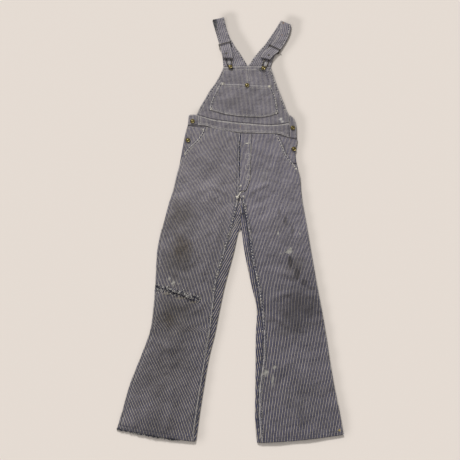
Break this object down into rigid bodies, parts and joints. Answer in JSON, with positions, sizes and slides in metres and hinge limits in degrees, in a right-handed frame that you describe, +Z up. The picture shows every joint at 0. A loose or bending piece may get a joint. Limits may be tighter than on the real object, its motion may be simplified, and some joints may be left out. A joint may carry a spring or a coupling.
{
  "type": "bib overalls",
  "caption": "Worn bib overalls in fine striped denim, laid flat with the front up, with two straps on wire hooks, a chest pocket and slanted front pockets.",
  "frame": {"origin": "middle of the outline, on the surface that the back lies on", "axes": "+Y from the hems towards the straps, +X towards the wearer's left, +Z up out of the front"},
  "size_m": [0.688, 1.5608, 0.0098],
  "materials": {
    "striped_denim": "matt, fine blue-grey and off-white stripe, washed and soiled",
    "brass_button": "dull, tarnished",
    "brass_wire": "dull, darkened",
    "iron_rivet": "dull, darkened"
  },
  "bodies": {
    "root": {"right_front": "striped_denim", "left_front": "striped_denim", "right_back": "striped_denim", "left_back": "striped_denim", "right_facing": "striped_denim", "left_facing": "striped_denim", "fly": "striped_denim", "front_band": "striped_denim", "back_band": "striped_denim", "right_tab": "striped_denim", "left_tab": "striped_denim", "back_bib": "striped_denim", "bib": "striped_denim", "bib_pocket": "striped_denim", "right_strap": "striped_denim", "left_strap": "striped_denim", "right_slide": "brass_wire", "left_slide": "brass_wire", "right_hook": "brass_wire", "left_hook": "brass_wire", "right_rivet": "iron_rivet", "left_rivet": "iron_rivet", "right_bib_button": "brass_button", "left_bib_button": "brass_button", "pocket_button": "brass_button", "right_band_button": "brass_button", "left_band_button": "brass_button", "right_hip_button": "brass_button", "left_hip_button": "brass_button"}
  },
  "joints": []
}
